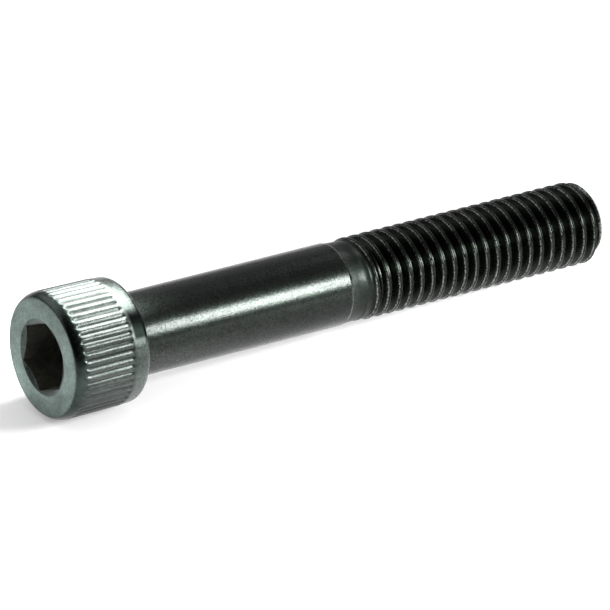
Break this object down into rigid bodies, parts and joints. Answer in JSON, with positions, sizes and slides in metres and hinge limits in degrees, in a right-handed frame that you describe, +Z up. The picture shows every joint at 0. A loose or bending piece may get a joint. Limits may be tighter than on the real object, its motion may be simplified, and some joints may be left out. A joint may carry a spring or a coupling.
{
  "type": "hex socket head cap screw",
  "caption": "Hex socket head cap screw with a knurled head, a plain shank and a right-hand thread, in blackened steel.",
  "frame": {"origin": "on the surface that the screw lies on, below the middle of its box", "axes": "+Z up, +X from the head towards the point, with the screw's axis sloping down by 2.15 degrees towards the point"},
  "size_m": [0.0956, 0.0188, 0.0191],
  "materials": {
    "blackened_steel": "black oxide on alloy steel, lightly oiled, satin, worn to bare metal on some edges"
  },
  "bodies": {
    "root": {"cap_screw": "blackened_steel"}
  },
  "joints": []
}
